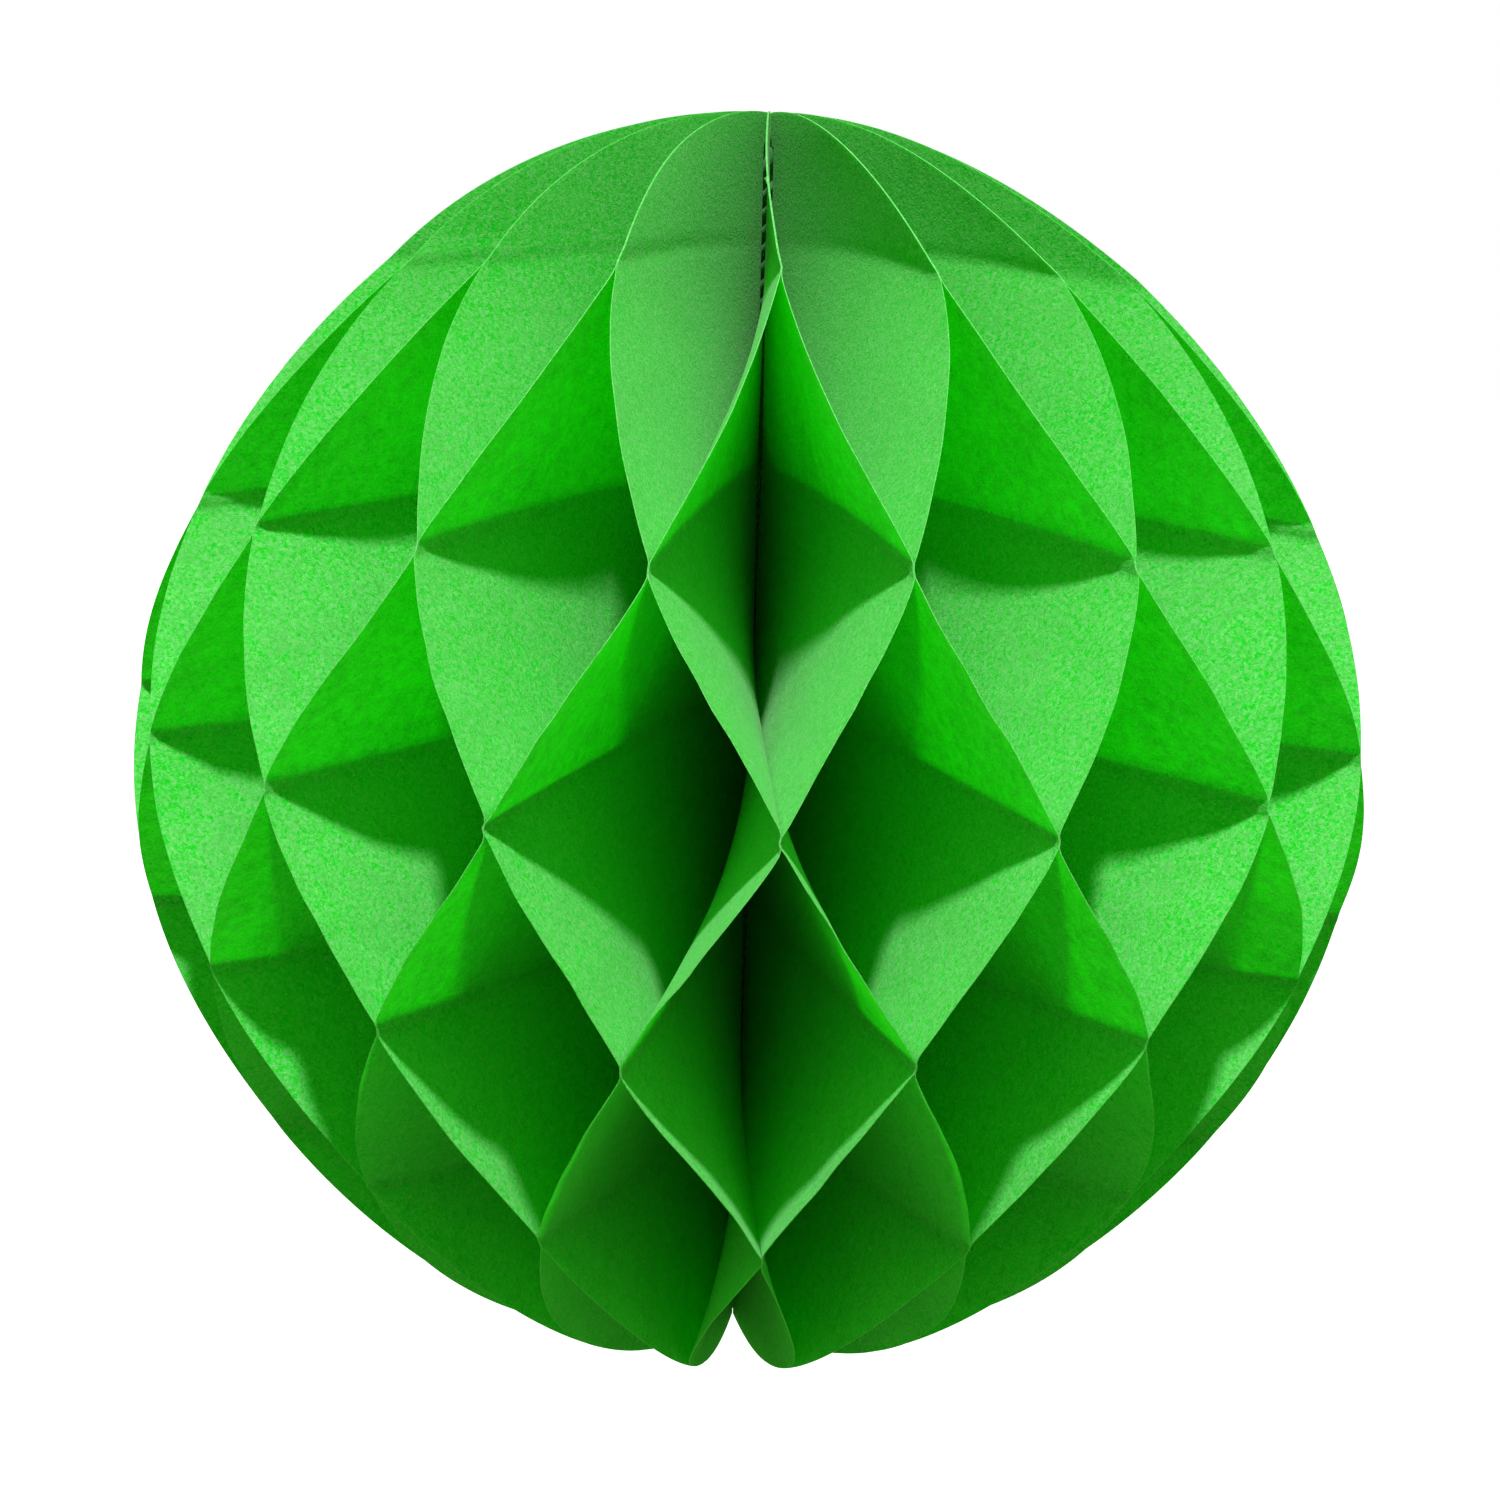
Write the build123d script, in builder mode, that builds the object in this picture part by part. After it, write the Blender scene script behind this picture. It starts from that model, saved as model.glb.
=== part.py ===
"""Paper honeycomb ball: glued tissue leaves that fan round a spine between two card covers.

Frame: +Z up along the spine, origin at the middle of the ball, millimetres. The front of the ball
is -Y. The two covers meet at the back, on +Y. Azimuth runs from the front towards +X.

Each leaf was cut as a half-disc, a little taller than round. Neighbours are glued along radial
lines, evenly spaced and by turns on one face and the other, so the opened leaf zigzags between
the glue planes beside it.
Glue planes are counted from the seam, which is plane 0: odd planes hold the middle glue line and
every second one from it, and even planes hold the others.
"""
import os
from math import asin, cos, degrees, radians, sin, sqrt

from build123d import *

# ---- Driving dimensions -------------------------------------------------------------------------
leaf_count = 34            # tissue leaves between the two covers
leaf_radius = 100.0        # flat leaf: from the spine to the middle of its rim
leaf_half_height = 103.0   # flat leaf: from its middle to either pole
leaf_thickness = 0.2       # stand-in for tissue of about 0.03 mm
glue_pitch = 35.5          # between neighbouring glue lines on the flat leaf
middle_line = 12.0         # height of the middle glue line
shortest_line = 10.0       # no glue line is shorter than this
glue_gap = 0.3             # clearance between two glued leaves, where the glue film is
spine_radius = 2.0         # the cord that the leaves are stitched round
spine_gap = 0.5            # from the cord to the leaves' straight edges
knot_gap = 0.3             # from a stopper knot's waist to the leaves' straight edges
knot_height = 5.0          # a stopper knot
knot_recess = 5.0          # from the leaves' poles in to the knots' ends
knot_rounding = 1.2        # of its two rims
cover_margin = 4.0         # from the leaves' rim in to the covers', at mid height
cover_pole_margin = 7.0    # from the leaves' poles in to the covers'
cover_thickness = 0.6      # one cover
cover_setback = 14.0       # from the spine's axis to the cover's straight edge
cover_gap = 0.4            # between the two covers, where the closure strips lie
cover_corner = 4.0         # rounding of the cover's two corners
strip_count = 3            # adhesive closure strips between the covers
strip_length = 36.0        # along the spine
strip_width = 12.0         # across the cover
strip_thickness = 0.3      # less than cover_gap, so a closed seam can part
strip_pitch = 54.0         # between the strips' middles
strip_inset = 4.0          # from a strip's outer corner to the cover's rim

# ---- What follows from them ---------------------------------------------------------------------
gore = 360 / leaf_count                        # azimuth between neighbouring glue planes
leaf_inner = spine_radius + spine_gap          # from the axis to an opened leaf's straight edge
knot_radius = leaf_inner - knot_gap            # a stopper knot's waist
spine_length = 2 * (leaf_half_height - knot_recess - knot_height)  # the cord between its knots
film = (glue_gap + leaf_thickness) / 2         # from a glue plane to the middle of either leaf
cover_radius = leaf_radius - cover_margin      # card half-disc, inside the leaves' outline
cover_half_height = leaf_half_height - cover_pole_margin
cover_side = cover_gap / 2 + cover_thickness   # from the seam to the leaf side of a cover
seam_angle = degrees(asin((cover_side + glue_gap) / cover_setback))
seam_room = leaf_inner * (sin(radians(2 * gore)) - sin(radians(seam_angle))) - leaf_thickness
seam_film = min(film, seam_room - film)        # beside a cover, as the next leaf leaves room for
reach = 1.1 * max(leaf_radius, leaf_half_height)  # untrimmed leaf, past the ball's outline
rim_step = 15                                  # degrees between the points of a leaf's rim
steps_out = int(leaf_half_height / glue_pitch) + 1  # from the middle line to past either pole


def rim_radius(height):
    """From the spine to the flat leaf's rim at this height."""
    return leaf_radius * sqrt(1 - (height / leaf_half_height) ** 2)


def shrink(radius):
    """Opening a leaf lowers its points at this radius to this share of their flat height."""
    return sqrt(1 - (radius * radians(gore) / glue_pitch) ** 2)


def line_plane(height, slope, turn, push):
    """A plane along a line that leaves the spine at this height, falling by the slope.

    turn is the line's azimuth from the leaf's middle. push moves it sideways off its glue plane.
    Local X runs outwards down the line and local Y runs across the leaf.
    """
    sideways = Vector(cos(radians(turn)), sin(radians(turn)), 0)
    outwards = Vector(sin(radians(turn)), -cos(radians(turn)), -slope)
    origin = Vector(0, 0, height) + sideways * push
    return Plane(origin=origin, x_dir=outwards, z_dir=outwards.cross(sideways))


def leaf_sections(low_side, high_side, middle_is_low):
    """The leaf's glue lines from the bottom up, between two level lines past its poles.

    Each side is the azimuth of a glue plane and how far off it the leaf stands.
    """
    planes = []
    for step in range(-steps_out, steps_out + 1):
        height = middle_line + glue_pitch * step
        if abs(height) < leaf_half_height and rim_radius(height) > shortest_line:
            is_low = (step % 2 == 0) == middle_is_low
            side = low_side if is_low else high_side
            rim = rim_radius(height)
            planes.append(line_plane(height, height * (1 - shrink(rim)) / rim, *side))
            if len(planes) == 1:
                planes.insert(0, line_plane(-reach, 0, *side))
    planes.append(line_plane(reach, 0, *side))
    return planes


def rim_point(angle):
    """A point of the opened leaf's rim, by the angle that sets its place on the flat ellipse."""
    radius = leaf_radius * cos(radians(angle))
    return (radius, leaf_half_height * sin(radians(angle)) * shrink(radius))


def leaf_pattern(low_side, high_side, middle_is_low):
    """One opened leaf about azimuth 0, between the glue planes on its low and its high side."""
    with BuildPart() as pattern:
        for plane in leaf_sections(low_side, high_side, middle_is_low):
            with BuildSketch(plane):
                with Locations((leaf_inner, 0)):
                    Rectangle(reach, leaf_thickness, align=(Align.MIN, Align.CENTER))
        loft(ruled=True)
        with BuildSketch(Plane.XZ):
            with BuildLine():
                rim = Spline([rim_point(angle) for angle in range(-90, 91, rim_step)])
                Line(rim @ 1, rim @ 0)
            make_face()
        revolve(axis=Axis.Z, mode=Mode.INTERSECT)
    return pattern.part


def half_disc_cover(seam_side):
    """A card half-disc that stands on the seam plane's offset at seam_side, towards +X."""
    with BuildPart() as cover:
        with BuildSketch(Plane.YZ.offset(seam_side)) as outline:
            Ellipse(cover_radius, cover_half_height)
            with Locations((cover_setback, 0)):
                Rectangle(
                    cover_radius,
                    2 * cover_half_height,
                    align=(Align.MIN, Align.CENTER),
                    mode=Mode.INTERSECT,
                )
            fillet(outline.vertices(), cover_corner)
        extrude(amount=cover_thickness)
    return cover.part


def save(part, name):
    """Label a finished sub-part and write its STEP file."""
    part.label = name
    export_step(part, f"parts/{name}.step")


os.makedirs("parts", exist_ok=True)

# ---- Tissue leaves ------------------------------------------------------------------------------
# Two patterns take turns round the ball. The first and the last leaf stand clear of the covers.
half = gore / 2
low_side, high_side = (-half, film), (half, -film)
pattern_of = {low: leaf_pattern(low_side, high_side, low) for low in (True, False)}
for number in range(1, leaf_count + 1):
    middle_is_low = number % 2 == 0
    pattern = pattern_of[middle_is_low]
    if number == 1:
        pattern = leaf_pattern((seam_angle - half, seam_film), high_side, middle_is_low)
    if number == leaf_count:
        pattern = leaf_pattern(low_side, (half - seam_angle, -seam_film), middle_is_low)
    with BuildPart() as leaf:
        with Locations(Rotation(0, 0, (number - 0.5) * gore - 180)):
            add(pattern)
    save(leaf.part, f"leaf_{number:02d}")

# ---- Covers, back to back at the seam -----------------------------------------------------------
save(half_disc_cover(-cover_side), "cover_left")
save(half_disc_cover(cover_gap / 2), "cover_right")

# ---- Closure strips, stuck on the right-hand cover's back ---------------------------------------
strip_names = ["lower", "middle", "upper"]
for index in range(strip_count):
    height = (index - (strip_count - 1) / 2) * strip_pitch
    corner = abs(height) + strip_length / 2
    outer = cover_radius * sqrt(1 - (corner / cover_half_height) ** 2) - strip_inset
    with BuildPart() as strip:
        with BuildSketch(Plane.YZ.offset(cover_gap / 2 - strip_thickness)):
            with Locations((outer - strip_width / 2, height)):
                Rectangle(strip_width, strip_length)
        extrude(amount=strip_thickness)
    save(strip.part, f"closure_strip_{strip_names[index]}")

# ---- Spine cord and its stopper knots -----------------------------------------------------------
with BuildPart() as spine_cord:
    Cylinder(spine_radius, spine_length)
save(spine_cord.part, "spine_cord")

for name, end in (("lower", -1), ("upper", 1)):
    with BuildPart() as knot:
        with Locations((0, 0, end * (spine_length + knot_height) / 2)):
            Cylinder(knot_radius, knot_height)
        fillet(knot.edges().filter_by(GeomType.CIRCLE), knot_rounding)
    save(knot.part, f"spine_knot_{name}")
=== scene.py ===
"""The looks of a paper honeycomb ball: tissue leaves, card covers, closure tape and spine cord."""
from math import cos, pi, radians, sin, sqrt, tau
from random import Random

import bpy
import numpy as np
from mathutils import Matrix, Vector, noise


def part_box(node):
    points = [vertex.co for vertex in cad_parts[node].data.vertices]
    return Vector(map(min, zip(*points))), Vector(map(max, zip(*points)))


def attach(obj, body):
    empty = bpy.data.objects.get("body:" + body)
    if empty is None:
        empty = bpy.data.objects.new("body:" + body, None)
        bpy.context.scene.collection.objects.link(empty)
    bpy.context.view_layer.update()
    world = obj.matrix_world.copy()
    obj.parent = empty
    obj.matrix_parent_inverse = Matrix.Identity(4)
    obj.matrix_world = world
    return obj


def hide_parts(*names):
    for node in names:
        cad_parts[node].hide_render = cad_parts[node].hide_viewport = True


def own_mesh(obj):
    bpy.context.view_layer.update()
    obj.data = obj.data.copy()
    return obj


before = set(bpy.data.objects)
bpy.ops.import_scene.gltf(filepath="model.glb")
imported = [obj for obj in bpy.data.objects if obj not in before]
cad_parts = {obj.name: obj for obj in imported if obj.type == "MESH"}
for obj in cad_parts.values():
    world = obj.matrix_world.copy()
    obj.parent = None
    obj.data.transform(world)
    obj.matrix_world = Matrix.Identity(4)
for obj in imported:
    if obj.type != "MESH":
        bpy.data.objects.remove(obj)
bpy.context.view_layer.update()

# ---- Sizes in metres, and angles in radians ------------------------------------------------------
LEAVES = sorted(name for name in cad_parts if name.startswith("leaf_"))
GORE = tau / len(LEAVES)              # azimuth between neighbouring glue planes
LEAF_RADIUS = 0.100                   # flat leaf, from the spine to the middle of its rim
LEAF_HALF_HEIGHT = 0.103              # flat leaf, from its middle to either pole
LEAF_INNER = 0.0025                   # the straight edge's distance from the spine's axis
POLE_INNER = 0.0009                   # the same, above and below the stopper knots
KNOT_END = 0.0980                     # height of the knots' outer ends
KNOT_TAPER = 0.0012                   # height over which the straight edge closes in past them
PAPER = 0.00011                       # thickness of a leaf
GLUE_PITCH = 0.0355                   # between neighbouring glue lines on the flat leaf
MIDDLE_LINE = 0.012                   # height of the middle glue line
GLUE_BAND = 0.0018                    # width of a glue line
GLUE_FILM = 0.00001                   # between two glued leaves
STEPS = (-3, -2, -1, 0, 1, 2)         # glue lines, counted from the middle one
SEAM_STANDOFF = 0.0010                # from the seam to the glue plane beside a cover
SEAM_TURN = radians(4.5)              # that plane's azimuth from the seam, nearer the spine
COVER_END = 0.0965                    # height past which no cover parts the seam
SEAM_TAPER = 0.003                    # height over which the seam closes up past it
SEAM_CLOSING = 0.95                   # share of the standoff that it loses there
CLOSED_SHARE = 3 / 360                # share of its open width that a gore keeps in the shut fan
COVER_ROOM = 0.00085                  # from the seam plane, what a cover takes of the shut fan

# ---- Unevenness of the tissue --------------------------------------------------------------------
BEND_SOFTNESS = 0.10                  # share of a leaf's crossing that eases in and out
SLACK = 0.0010                        # how far a leaf wanders between its glue lines
SLACK_WAVES = (26, 38)                # waves in a metre, outwards and upwards
FLUTTER = 0.0004                      # how far its rim wanders besides, in shorter waves
FLUTTER_WAVES = (60, 170)
FLUTTER_SEED = 50                     # added to a leaf's number
SWAY = 0.0030                         # how far its loose ends wander, past the outer glue lines
SWAY_WAVES = (22, 34)
SWAY_SEED = 100                       # added to a glue line's plane and step
SWAY_ONSET = 0.016                    # distance past the outer line at which sway is full
SEED_PITCH = 3.7                      # between the noise of one seed and of the next
LEAN = -0.34                          # slope of the upper loose ends towards +X, at full reach
STRAY_TURN = radians(0.55)            # most that a glue line's outer end is out of its plane
STRAY_LIFT = 0.0007                   # most that this end is too high or too low
CREASE_DEPTH = 0.0006                 # most of the dent that a glue line leaves in the paper
CREASE_WIDTH = 0.0010                 # of that dent

# ---- Spine cord ----------------------------------------------------------------------------------
STRANDS = 3
STRAND_RADIUS = 0.00095
STRAND_OFFSET = 0.00105               # from the spine's axis to a strand's middle
STRAND_LAY = 0.0085                   # height of one turn of a strand
STRAND_SIDES = 8
LAY_STEPS = 14                        # faces of a strand along one turn
KNOT_REACH = 0.0014                   # from the spine's axis to the middle of a knot's loops
KNOT_RISE = 0.0016                    # of those loops above the knot's middle
KNOT_POINTS = 24                      # of a knot's spline
KNOT_SQUEEZE = 0.8                    # share of a strand's radius that is left in a tight knot

# ---- Fineness of the meshes ----------------------------------------------------------------------
COLUMNS = 30                          # faces of a leaf from the spine to the rim
ROW_PITCH = 0.0019                    # height of a leaf's faces between its glue lines
BEND_ROWS = (0.0, 0.0008, 0.0016, 0.0024, 0.0034, 0.0048)  # rows either side of a glue line
BEND_MARGIN = 0.3                     # share of ROW_PITCH that other rows keep from those
POLE_WIDTH = 0.001                    # of a leaf's first and last row
LEAF_SMOOTH = radians(50)             # folds of less than this are shaded smooth
CORD_SMOOTH = radians(60)


# ---- Shader arithmetic ---------------------------------------------------------------------------
class Wire:
    """A shader socket that takes part in Python arithmetic."""

    def __init__(self, finish, socket):
        self.finish = finish
        self.socket = socket

    def math(self, operation, first, second):
        return self.finish.node("ShaderNodeMath", {"operation": operation}, {0: first, 1: second})

    def __add__(self, other):
        return self.math("ADD", self, other)

    def __radd__(self, other):
        return self.math("ADD", other, self)

    def __sub__(self, other):
        return self.math("SUBTRACT", self, other)

    def __rsub__(self, other):
        return self.math("SUBTRACT", other, self)

    def __mul__(self, other):
        return self.math("MULTIPLY", self, other)

    def __rmul__(self, other):
        return self.math("MULTIPLY", other, self)


class Finish:
    """The nodes of a material or of the world: each of them comes from node()."""

    def __init__(self, owner):
        self.owner = owner
        self.owner.use_nodes = True
        self.tree = self.owner.node_tree
        self.tree.nodes.clear()

    def node(self, kind, settings=None, sockets=None, output=0):
        """Adds a node, sets it up, then fills its sockets with values or wires."""
        made = self.tree.nodes.new(kind)
        for key, value in (settings or {}).items():
            if key == "stops":
                self.set_stops(made.color_ramp, value)
            else:
                setattr(made, key, value)
        for key, value in (sockets or {}).items():
            if isinstance(value, Wire):
                self.tree.links.new(value.socket, made.inputs[key])
            else:
                made.inputs[key].default_value = value
        return Wire(self, made.outputs[output]) if len(made.outputs) else None

    @staticmethod
    def set_stops(ramp, stops):
        """Gives a colour ramp its grey stops, each a position and a level."""
        while len(ramp.elements) < len(stops):
            ramp.elements.new(0.5)
        for element, (position, level) in zip(ramp.elements, stops):
            element.position = position
            element.color = (level, level, level, 1)

    def place(self):
        """Where a point is on the object."""
        return self.node("ShaderNodeTexCoord", output="Object")

    def grain(self, scale, detail=2.0, roughness=0.5, stretch=(1, 1, 1), distortion=0.0):
        """Cloudy noise about 1/scale metres across, drawn out along an axis by stretch."""
        where = self.node("ShaderNodeMapping", sockets={"Vector": self.place(), "Scale": stretch})
        return self.node(
            "ShaderNodeTexNoise",
            sockets={
                "Vector": where,
                "Scale": scale,
                "Detail": detail,
                "Roughness": roughness,
                "Distortion": distortion,
            },
        )

    def ramp(self, wire, *stops):
        """Levels at positions along a wire, as a grey ramp."""
        return self.node("ShaderNodeValToRGB", {"stops": stops}, {"Fac": wire})

    def mix(self, factor, first, second):
        """A colour between two colours."""
        return self.node("ShaderNodeMix", {"data_type": "RGBA"}, {0: factor, 6: first, 7: second}, 2)

    def bump(self, height, distance, strength):
        """A normal from a height that is distance metres at its full level."""
        return self.node(
            "ShaderNodeBump", sockets={"Height": height, "Distance": distance, "Strength": strength}
        )

    def done(self, shader, output="ShaderNodeOutputMaterial"):
        """Puts the shader on the surface and gives back the finished material or world."""
        self.node(output, sockets={"Surface": shader})
        return self.owner


def material(name):
    """A new material's finish, still empty."""
    return Finish(bpy.data.materials.new(name))


# ---- Finishes ------------------------------------------------------------------------------------
LEAF_GREEN = (0.015, 0.70, 0.022, 1)
FIBRE_GREEN = (0.360, 0.83, 0.350, 1)
# Paler greens of the leaves' cut edges: a painted rim highlight that makes the edges read as pale
# lines.
EDGE_HIGHLIGHT_GREEN = (0.120, 0.68, 0.130, 1)
EDGE_HIGHLIGHT_FIBRE_GREEN = (0.360, 0.84, 0.360, 1)
GLOW_GREEN = (0.110, 0.98, 0.004, 1)  # of the light that comes through a leaf
SHEET_THIN = 0.56                     # share of a leaf's light that comes through it
EDGE_THIN = 0.35


def tissue(name, sheet, fibre, thin):
    """Dyed tissue paper: cloudy, with short pale fibres, and thin enough for light to come through."""
    finish = material(name)
    clouds = finish.grain(55, detail=3, roughness=0.55)
    formation = finish.grain(520, detail=3, roughness=0.6)
    fibres = finish.grain(1900, detail=2, roughness=0.65, distortion=0.7)
    pale = finish.ramp(0.62 * fibres + 0.20 * formation + 0.18 * clouds, (0.40, 0.0), (0.60, 1.0))
    relief = finish.bump(0.85 * fibres + 0.4 * formation, 0.00022, 0.8)
    face = finish.node(
        "ShaderNodeBsdfPrincipled",
        sockets={
            "Base Color": finish.mix(pale, sheet, fibre),
            "Roughness": 0.95 - 0.15 * pale,
            "Specular IOR Level": 0.12,
            "Sheen Weight": 0.22,
            "Sheen Roughness": 0.5,
            "Normal": relief,
        },
    )
    through = finish.node(
        "ShaderNodeBsdfTranslucent", sockets={"Color": GLOW_GREEN, "Normal": relief}
    )
    share = thin + 0.50 * (formation - 0.5) + 0.30 * (clouds - 0.5)
    return finish.done(finish.node("ShaderNodeMixShader", sockets={0: share, 1: face, 2: through}))


def card():
    """Dyed card, smoother and more closed than the tissue."""
    finish = material("green_card")
    pulp = finish.grain(420, detail=4, roughness=0.6)
    flecks = finish.ramp(finish.grain(1600, detail=1), (0.60, 0.0), (0.70, 1.0))
    colour = finish.mix(pulp, (0.012, 0.34, 0.020, 1), (0.050, 0.52, 0.060, 1))
    colour = finish.mix(0.35 * flecks, colour, (0.22, 0.66, 0.22, 1))
    return finish.done(finish.node(
        "ShaderNodeBsdfPrincipled",
        sockets={
            "Base Color": colour,
            "Roughness": 0.72 + 0.2 * pulp,
            "Normal": finish.bump(pulp, 0.00008, 0.5),
        },
    ))


def tape():
    """Double-sided paper tape under its waxed liner."""
    finish = material("closure_tape")
    crepe = finish.grain(600, detail=2, stretch=(1, 1, 4))
    colour = finish.mix(crepe, (0.62, 0.60, 0.50, 1), (0.84, 0.82, 0.74, 1))
    return finish.done(finish.node(
        "ShaderNodeBsdfPrincipled",
        sockets={
            "Base Color": colour,
            "Roughness": 0.35 + 0.3 * crepe,
            "Normal": finish.bump(crepe, 0.00006, 0.5),
        },
    ))


def cotton():
    """Green cotton of the spine cord, with its fluff, painted very dark as the shade of the slit it
    lies in.
    """
    finish = material("cotton_cord_painted_shade")
    fluff = finish.grain(2600, detail=3, roughness=0.7, stretch=(1, 1, 0.35))
    dye = finish.grain(160, detail=2)
    # Both greens are very dark: painted shade, so the cord sinks into the dark slit between the
    # leaves.
    colour = finish.mix(fluff, (0.004, 0.08, 0.006, 1), (0.030, 0.24, 0.040, 1))
    colour = finish.mix(0.5 * dye, colour, (0.010, 0.14, 0.014, 1))
    return finish.done(finish.node(
        "ShaderNodeBsdfPrincipled",
        sockets={
            "Base Color": colour,
            "Roughness": 0.8 + 0.15 * fluff,
            "Sheen Weight": 0.3,
            "Normal": finish.bump(fluff, 0.00015, 0.8),
        },
    ))


# ---- Shape of an opened leaf ---------------------------------------------------------------------
def rim_radius(height):
    """From the spine to the flat leaf's rim at this height."""
    return LEAF_RADIUS * sqrt(1 - (height / LEAF_HALF_HEIGHT) ** 2)


def inner_radius(height):
    """From the spine's axis to the leaf's straight edge, which closes in past the knots."""
    past = np.clip((abs(height) - KNOT_END) / KNOT_TAPER, 0, 1)
    return LEAF_INNER + (POLE_INNER - LEAF_INNER) * past


def row_heights():
    """Flat heights of a leaf's rows: close at the glue lines and at the poles."""
    pole = LEAF_HALF_HEIGHT * sqrt(1 - ((POLE_INNER + POLE_WIDTH) / LEAF_RADIUS) ** 2)
    lines = [MIDDLE_LINE + GLUE_PITCH * step for step in STEPS]
    bends = {line + side * away for line in lines for away in BEND_ROWS for side in (-1, 1)}
    count = round(pi * LEAF_HALF_HEIGHT / ROW_PITCH)
    arc = [pole * sin(pi * (index / count - 0.5)) for index in range(count + 1)]
    clear = BEND_ROWS[-1] + BEND_MARGIN * ROW_PITCH
    spaced = [height for height in arc if all(abs(height - line) > clear for line in lines)]
    return np.array(sorted([height for height in bends if abs(height) < pole] + spaced))


def bend_profile(share):
    """How far and how steeply a leaf crosses between its glue planes, part-way between lines."""
    flat = 0.5 * GLUE_BAND / GLUE_PITCH
    across = np.clip((share - flat) / (1 - 2 * flat), 0, 1)
    soft = BEND_SOFTNESS
    crossed = (1 - soft) * across + soft * across**2 * (3 - 2 * across)
    inside = (share > flat) & (share < 1 - flat)
    steep = inside * ((1 - soft) + soft * 6 * across * (1 - across)) / (1 - 2 * flat)
    return crossed, steep


class Crossings:
    """For each row of a leaf: the glue lines below and above it, and its place between them."""

    def __init__(self, heights):
        place = (heights - MIDDLE_LINE) / GLUE_PITCH
        self.below = np.clip(np.floor(place), STEPS[0], STEPS[-1]).astype(int)
        self.above = np.clip(self.below + 1, STEPS[0], STEPS[-1])
        outside = (place < STEPS[0]) | (place > STEPS[-1])
        self.share = np.where(outside, 0.0, place - self.below)
        self.crossed, steep = bend_profile(self.share)
        self.steep = np.where(outside, 0.0, steep)
        self.rise = np.maximum(0, place - STEPS[-1]) * GLUE_PITCH
        self.drop = np.maximum(0, STEPS[0] - place) * GLUE_PITCH
        nearest = np.clip(np.round(place), STEPS[0], STEPS[-1])
        self.dent = np.exp(-((place - nearest) * GLUE_PITCH / CREASE_WIDTH) ** 2)

    def between(self, value_at):
        """A value that belongs to each glue line, carried over the rows between them."""
        low = np.array([value_at(step) for step in self.below])
        high = np.array([value_at(step) for step in self.above])
        return low + (high - low) * self.crossed


def opened_heights(heights, radii, steep):
    """Height above the ball's middle of each point, when its leaf has been opened."""
    crossing = radii[:, :, None] * (GORE / GLUE_PITCH) * steep[None, None, :]
    climb = np.sqrt(1 - crossing**2)
    rise = np.diff(heights) * 0.5 * (climb[:, :, 1:] + climb[:, :, :-1])
    total = np.concatenate([np.zeros(radii.shape + (1,)), np.cumsum(rise, axis=2)], axis=2)
    rows = np.arange(len(heights))
    middle = np.array([[np.interp(0, heights, column) for column in row] for row in total])
    return total[rows, :, rows] - middle


def unevenness():
    """Unevenness of each glue line: its turn and lift at the rim, and its crease."""
    chance = Random(34)
    stray = {}
    for plane in range(len(LEAVES) + 1):
        loose = plane not in (0, len(LEAVES))
        for step in STEPS:
            turn = loose * chance.uniform(-1, 1) * STRAY_TURN
            lift = loose * chance.uniform(-1, 1) * STRAY_LIFT
            crease = loose * chance.uniform(-1, 1) * CREASE_DEPTH
            stray[plane, step] = (turn, lift, crease)
    return stray


HEIGHTS = row_heights()
ROWS = Crossings(HEIGHTS)
INNER = inner_radius(HEIGHTS)
RADII = INNER[:, None] + np.outer(
    [rim_radius(height) for height in HEIGHTS] - INNER, np.linspace(0, 1, COLUMNS + 1)
)
REACH = RADII / LEAF_RADIUS
OPENED = opened_heights(HEIGHTS, RADII, ROWS.steep)
STRAY = unevenness()


def plane_azimuth(plane):
    """Azimuth of each point of a leaf on a glue plane, which stands clear of a cover beside it."""
    flat = plane * GORE - pi + np.zeros(RADII.shape)
    clear = np.arcsin(np.minimum(SEAM_STANDOFF / RADII, sin(SEAM_TURN)))
    clear *= 1 - SEAM_CLOSING * np.clip((abs(HEIGHTS) - COVER_END) / SEAM_TAPER, 0, 1)[:, None]
    if plane == 0:
        return flat + clear
    if plane == len(LEAVES):
        return flat - clear
    return flat


def ripple(seed, waves):
    """Smooth chance between -1 and 1 over a leaf, another one for each seed."""
    outwards, upwards = waves
    level = seed * SEED_PITCH
    return np.array([
        [noise.noise(Vector((radius * outwards, height * upwards, level))) for radius in row]
        for row, height in zip(RADII, HEIGHTS)
    ])


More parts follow.
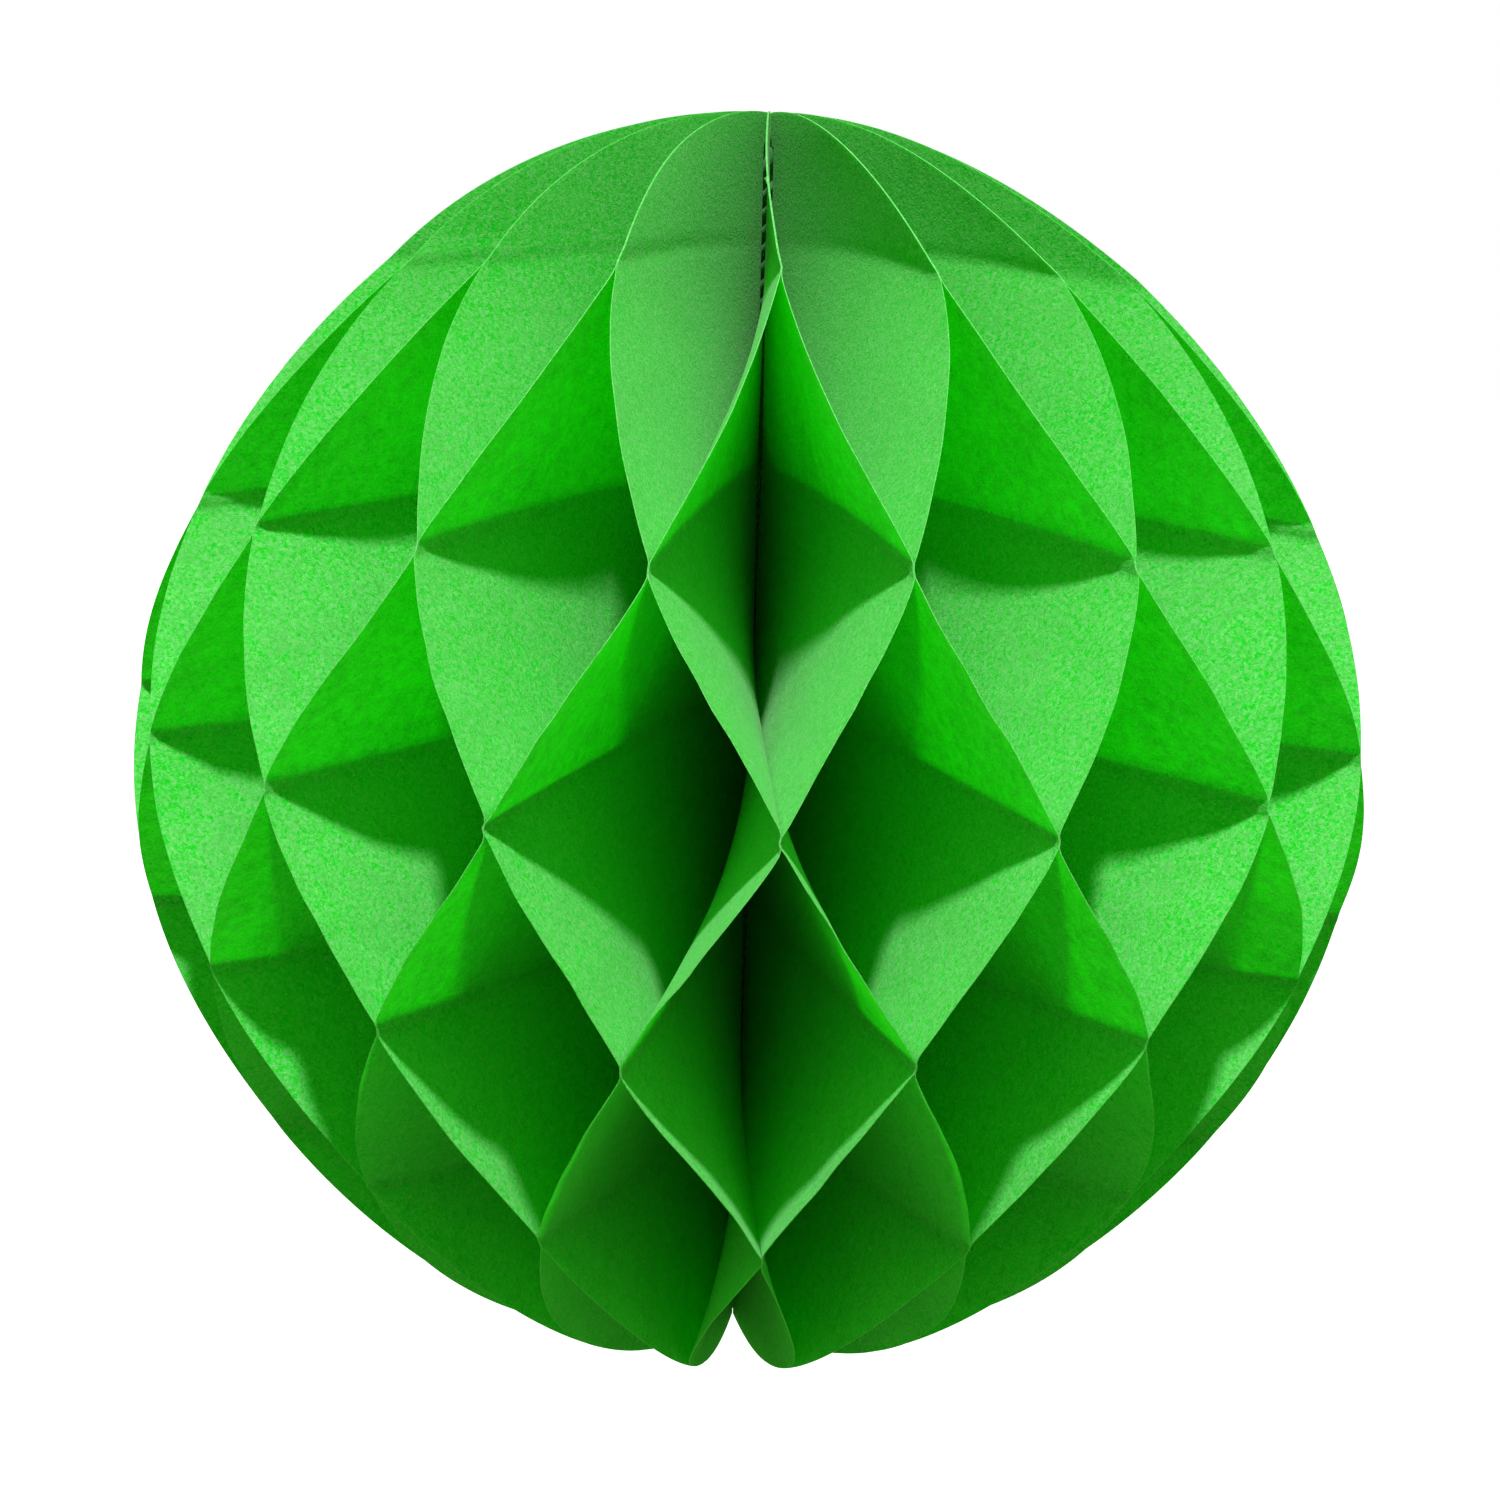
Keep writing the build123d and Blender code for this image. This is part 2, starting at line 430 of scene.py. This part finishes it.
def leaf_points(number):
    """Places of an opened leaf's points, row by row from the lower pole."""
    low_plane = number - 1
    middle_is_low = number % 2 == 0

    def plane_of(step):
        return low_plane + ((step % 2 == 0) != middle_is_low)

    def loose_end(step):
        return ripple(SWAY_SEED + plane_of(step) + step, SWAY_WAVES)

    share = ROWS.between(lambda step: float(plane_of(step) - low_plane))[:, None]
    turn, lift, crease = (
        ROWS.between(lambda step: STRAY[plane_of(step), step][kind])[:, None] for kind in range(3)
    )
    azimuth = (1 - share) * plane_azimuth(low_plane) + share * plane_azimuth(number) + turn * REACH
    loose = (4 * ROWS.crossed * (1 - ROWS.crossed))[:, None] * REACH
    slack = SLACK * ripple(number, SLACK_WAVES) * loose
    flutter = FLUTTER * ripple(number + FLUTTER_SEED, FLUTTER_WAVES) * loose * REACH**2
    past = np.clip((ROWS.rise + ROWS.drop) / SWAY_ONSET, 0, 1)[:, None]
    ends = np.where(HEIGHTS[:, None] > 0, loose_end(STEPS[-1]), loose_end(STEPS[0]))
    sway = SWAY * ends * past * REACH
    apart = (1 - 2 * share) * (0.5 * PAPER + GLUE_FILM) + slack + flutter + sway
    apart += crease * ROWS.dent[:, None] * REACH
    lean = LEAN * ROWS.rise[:, None] * REACH
    height = OPENED + lift * REACH**2
    return np.stack([
        RADII * np.sin(azimuth) + apart * np.cos(azimuth) + lean,
        -RADII * np.cos(azimuth) + apart * np.sin(azimuth),
        height,
    ], axis=2)


# ---- Pieces --------------------------------------------------------------------------------------
def modelled_leaf(number, name, sheet_finish, edge_highlight_finish):
    """One tissue leaf: a grid drawn out to the half-disc, opened and given its thickness."""
    bpy.ops.object.select_all(action="DESELECT")
    bpy.ops.mesh.primitive_grid_add(x_subdivisions=COLUMNS, y_subdivisions=len(HEIGHTS) - 1, size=1)
    leaf = bpy.context.object
    leaf.name = name
    leaf.data.vertices.foreach_set("co", leaf_points(number).ravel())
    leaf.data.update()
    leaf.data.materials.append(sheet_finish)
    leaf.data.materials.append(edge_highlight_finish)
    thick = leaf.modifiers.new("paper", "SOLIDIFY")
    thick.thickness = PAPER
    thick.offset = 0
    # The rim faces take the second, paler finish: a painted highlight along the cut edges.
    thick.material_offset_rim = 1
    bpy.ops.object.modifier_apply(modifier=thick.name)
    bpy.ops.object.shade_smooth_by_angle(angle=LEAF_SMOOTH)
    return leaf


def make_leaves():
    """All the leaves, each standing in for its CAD leaf and carried by that leaf's body."""
    sheet = tissue("green_tissue", LEAF_GREEN, FIBRE_GREEN, SHEET_THIN)
    # The cut edges get the tissue finish in paler greens: a painted highlight.
    edge = tissue("green_cut_edge_painted_highlight", EDGE_HIGHLIGHT_GREEN, EDGE_HIGHLIGHT_FIBRE_GREEN, EDGE_THIN)
    for number, node in enumerate(LEAVES, start=1):
        leaf = modelled_leaf(number, f"tissue_{node}", sheet, edge)
        middle = (number - 0.5) * GORE - pi
        place = (number - 0.5) / len(LEAVES)
        aside = COVER_ROOM * (1 - 2 * place) / (1 - CLOSED_SHARE)
        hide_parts(node)
        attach(leaf, node)
        aside * cos(middle)
        aside * sin(middle)
        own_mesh(leaf)


def smooth_closed(piece):
    """Closes a piece's open ends, points its faces outwards and shades it smooth."""
    bpy.ops.object.mode_set(mode="EDIT")
    bpy.ops.mesh.select_all(action="SELECT")
    bpy.ops.mesh.fill_holes(sides=STRAND_SIDES)
    bpy.ops.mesh.normals_make_consistent(inside=False)
    bpy.ops.object.mode_set(mode="OBJECT")
    bpy.ops.object.shade_smooth_by_angle(angle=CORD_SMOOTH)
    return piece


def twisted_cord(bottom, top):
    """Strands laid round one another from one height to another."""
    bpy.ops.object.select_all(action="DESELECT")
    strands = []
    for strand in range(STRANDS):
        turn = strand * tau / STRANDS
        bpy.ops.mesh.primitive_circle_add(
            vertices=STRAND_SIDES,
            radius=STRAND_RADIUS,
            location=(STRAND_OFFSET * cos(turn), STRAND_OFFSET * sin(turn), bottom + STRAND_RADIUS),
            rotation=(pi / 2, 0, turn),
        )
        strands.append(bpy.context.object)
    for strand in strands:
        strand.select_set(True)
    bpy.ops.object.join()
    cord = bpy.context.object
    bpy.ops.object.transform_apply(location=True, rotation=True, scale=True)
    turns = (top - bottom) / STRAND_LAY
    lay = cord.modifiers.new("lay", "SCREW")
    lay.angle = turns * tau
    lay.screw_offset = top - bottom - 2 * STRAND_RADIUS
    lay.steps = round(turns * LAY_STEPS)
    lay.render_steps = lay.steps
    bpy.ops.object.modifier_apply(modifier=lay.name)
    return smooth_closed(cord)


def stopper_knot(middle):
    """The cord's end, knotted overhand and pulled tight."""
    bpy.ops.object.select_all(action="DESELECT")
    bpy.ops.curve.primitive_nurbs_circle_add(radius=1, location=(0, 0, 0))
    knot = bpy.context.object
    spline = knot.data.splines[0]
    spline.points.add(KNOT_POINTS - len(spline.points))
    for index, point in enumerate(spline.points):
        turn = index * tau / KNOT_POINTS
        point.co = (
            KNOT_REACH * (sin(turn) + 2 * sin(2 * turn)) / 3,
            KNOT_REACH * (cos(turn) - 2 * cos(2 * turn)) / 3,
            middle - KNOT_RISE * sin(3 * turn),
            1,
        )
    spline.resolution_u = 3
    knot.data.bevel_depth = STRAND_RADIUS * KNOT_SQUEEZE
    knot.data.bevel_resolution = 3
    bpy.ops.object.convert(target="MESH")
    bpy.ops.object.shade_smooth()
    return bpy.context.object


def make_spine():
    """The cord that the leaves are stitched round, and its two stopper knots."""
    cotton_painted_shade = cotton()
    low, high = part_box("spine_cord")
    pieces = {"spine_cord": twisted_cord(low[2], high[2])}
    for node in ("spine_knot_lower", "spine_knot_upper"):
        low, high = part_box(node)
        pieces[node] = stopper_knot((low[2] + high[2]) / 2)
    for node, piece in pieces.items():
        piece.name = f"cotton_{node}"
        piece.data.materials.clear()
        piece.data.materials.append(cotton_painted_shade)
        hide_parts(node)
        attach(piece, "cover_left")


def finish_covers():
    """Gives the carried-over CAD covers and closure strips their finishes."""
    for prefix, coat in (("cover_", card()), ("closure_strip_", tape())):
        for name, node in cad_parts.items():
            if name.startswith(prefix):
                node.data.materials.clear()
                node.data.materials.append(coat)


# ---- Studio --------------------------------------------------------------------------------------
def add_floor():
    """A wide pale floor, far below the hanging ball, that throws no light back up on it."""
    bpy.ops.object.select_all(action="DESELECT")
    bpy.ops.mesh.primitive_plane_add(size=60, location=(0, 0, -1.2))
    floor = bpy.context.object
    floor.name = "studio_floor"
    paint = material("pale_floor")
    floor.data.materials.append(paint.done(paint.node(
        "ShaderNodeBsdfPrincipled", sockets={"Base Color": (0.9, 0.9, 0.9, 1), "Roughness": 0.9}
    )))
    floor.visible_diffuse = False
    floor.visible_glossy = False
    floor.visible_transmission = False


def towards(azimuth, elevation):
    """Unit vector at an azimuth from the front towards +X and an elevation, in degrees."""
    turn, rise = radians(azimuth), radians(elevation)
    return Vector((sin(turn) * cos(rise), -cos(turn) * cos(rise), sin(rise)))


def add_sun(name, strength, softness, azimuth, elevation):
    """A studio lamp far away, with its directions and the angle of its disc in degrees."""
    lamp = bpy.data.lights.new(name, "SUN")
    lamp.energy = strength
    lamp.angle = radians(softness)
    holder = bpy.data.objects.new(name, lamp)
    bpy.context.scene.collection.objects.link(holder)
    holder.rotation_euler = towards(azimuth, elevation).to_track_quat("Z", "Y").to_euler()


def add_world(backdrop, fill):
    """A backdrop that is plain to the camera and lights the ball only with the soft fill."""
    studio = Finish(bpy.data.worlds.new("studio"))
    seen = studio.node("ShaderNodeLightPath", output="Is Camera Ray")
    sky = studio.node("ShaderNodeBackground", sockets={"Color": studio.mix(seen, fill, backdrop)})
    bpy.context.scene.world = studio.done(sky, "ShaderNodeOutputWorld")


def add_camera(distance, azimuth, elevation, roll, lens):
    """A camera that looks at the ball's middle, with its directions and roll in degrees."""
    eye = distance * towards(azimuth, elevation)
    camera = bpy.data.cameras.new("camera")
    camera.lens = lens
    camera.clip_start = 0.01
    holder = bpy.data.objects.new("camera", camera)
    bpy.context.scene.collection.objects.link(holder)
    aim = eye.to_track_quat("Z", "Y").to_matrix().to_4x4()
    holder.matrix_world = Matrix.Translation(eye) @ aim @ Matrix.Rotation(radians(roll), 4, "Z")
    bpy.context.scene.camera = holder


make_leaves()
make_spine()
finish_covers()
add_floor()
add_sun("key_lamp", strength=4.6, softness=3.5, azimuth=-3, elevation=70)
add_world(backdrop=(1, 1, 1, 1), fill=(0.20, 0.36, 0.11, 1))
add_camera(distance=0.349, azimuth=-2.05, elevation=12.5, roll=1.8, lens=49.7)
bpy.context.scene.view_settings.view_transform = "Standard"
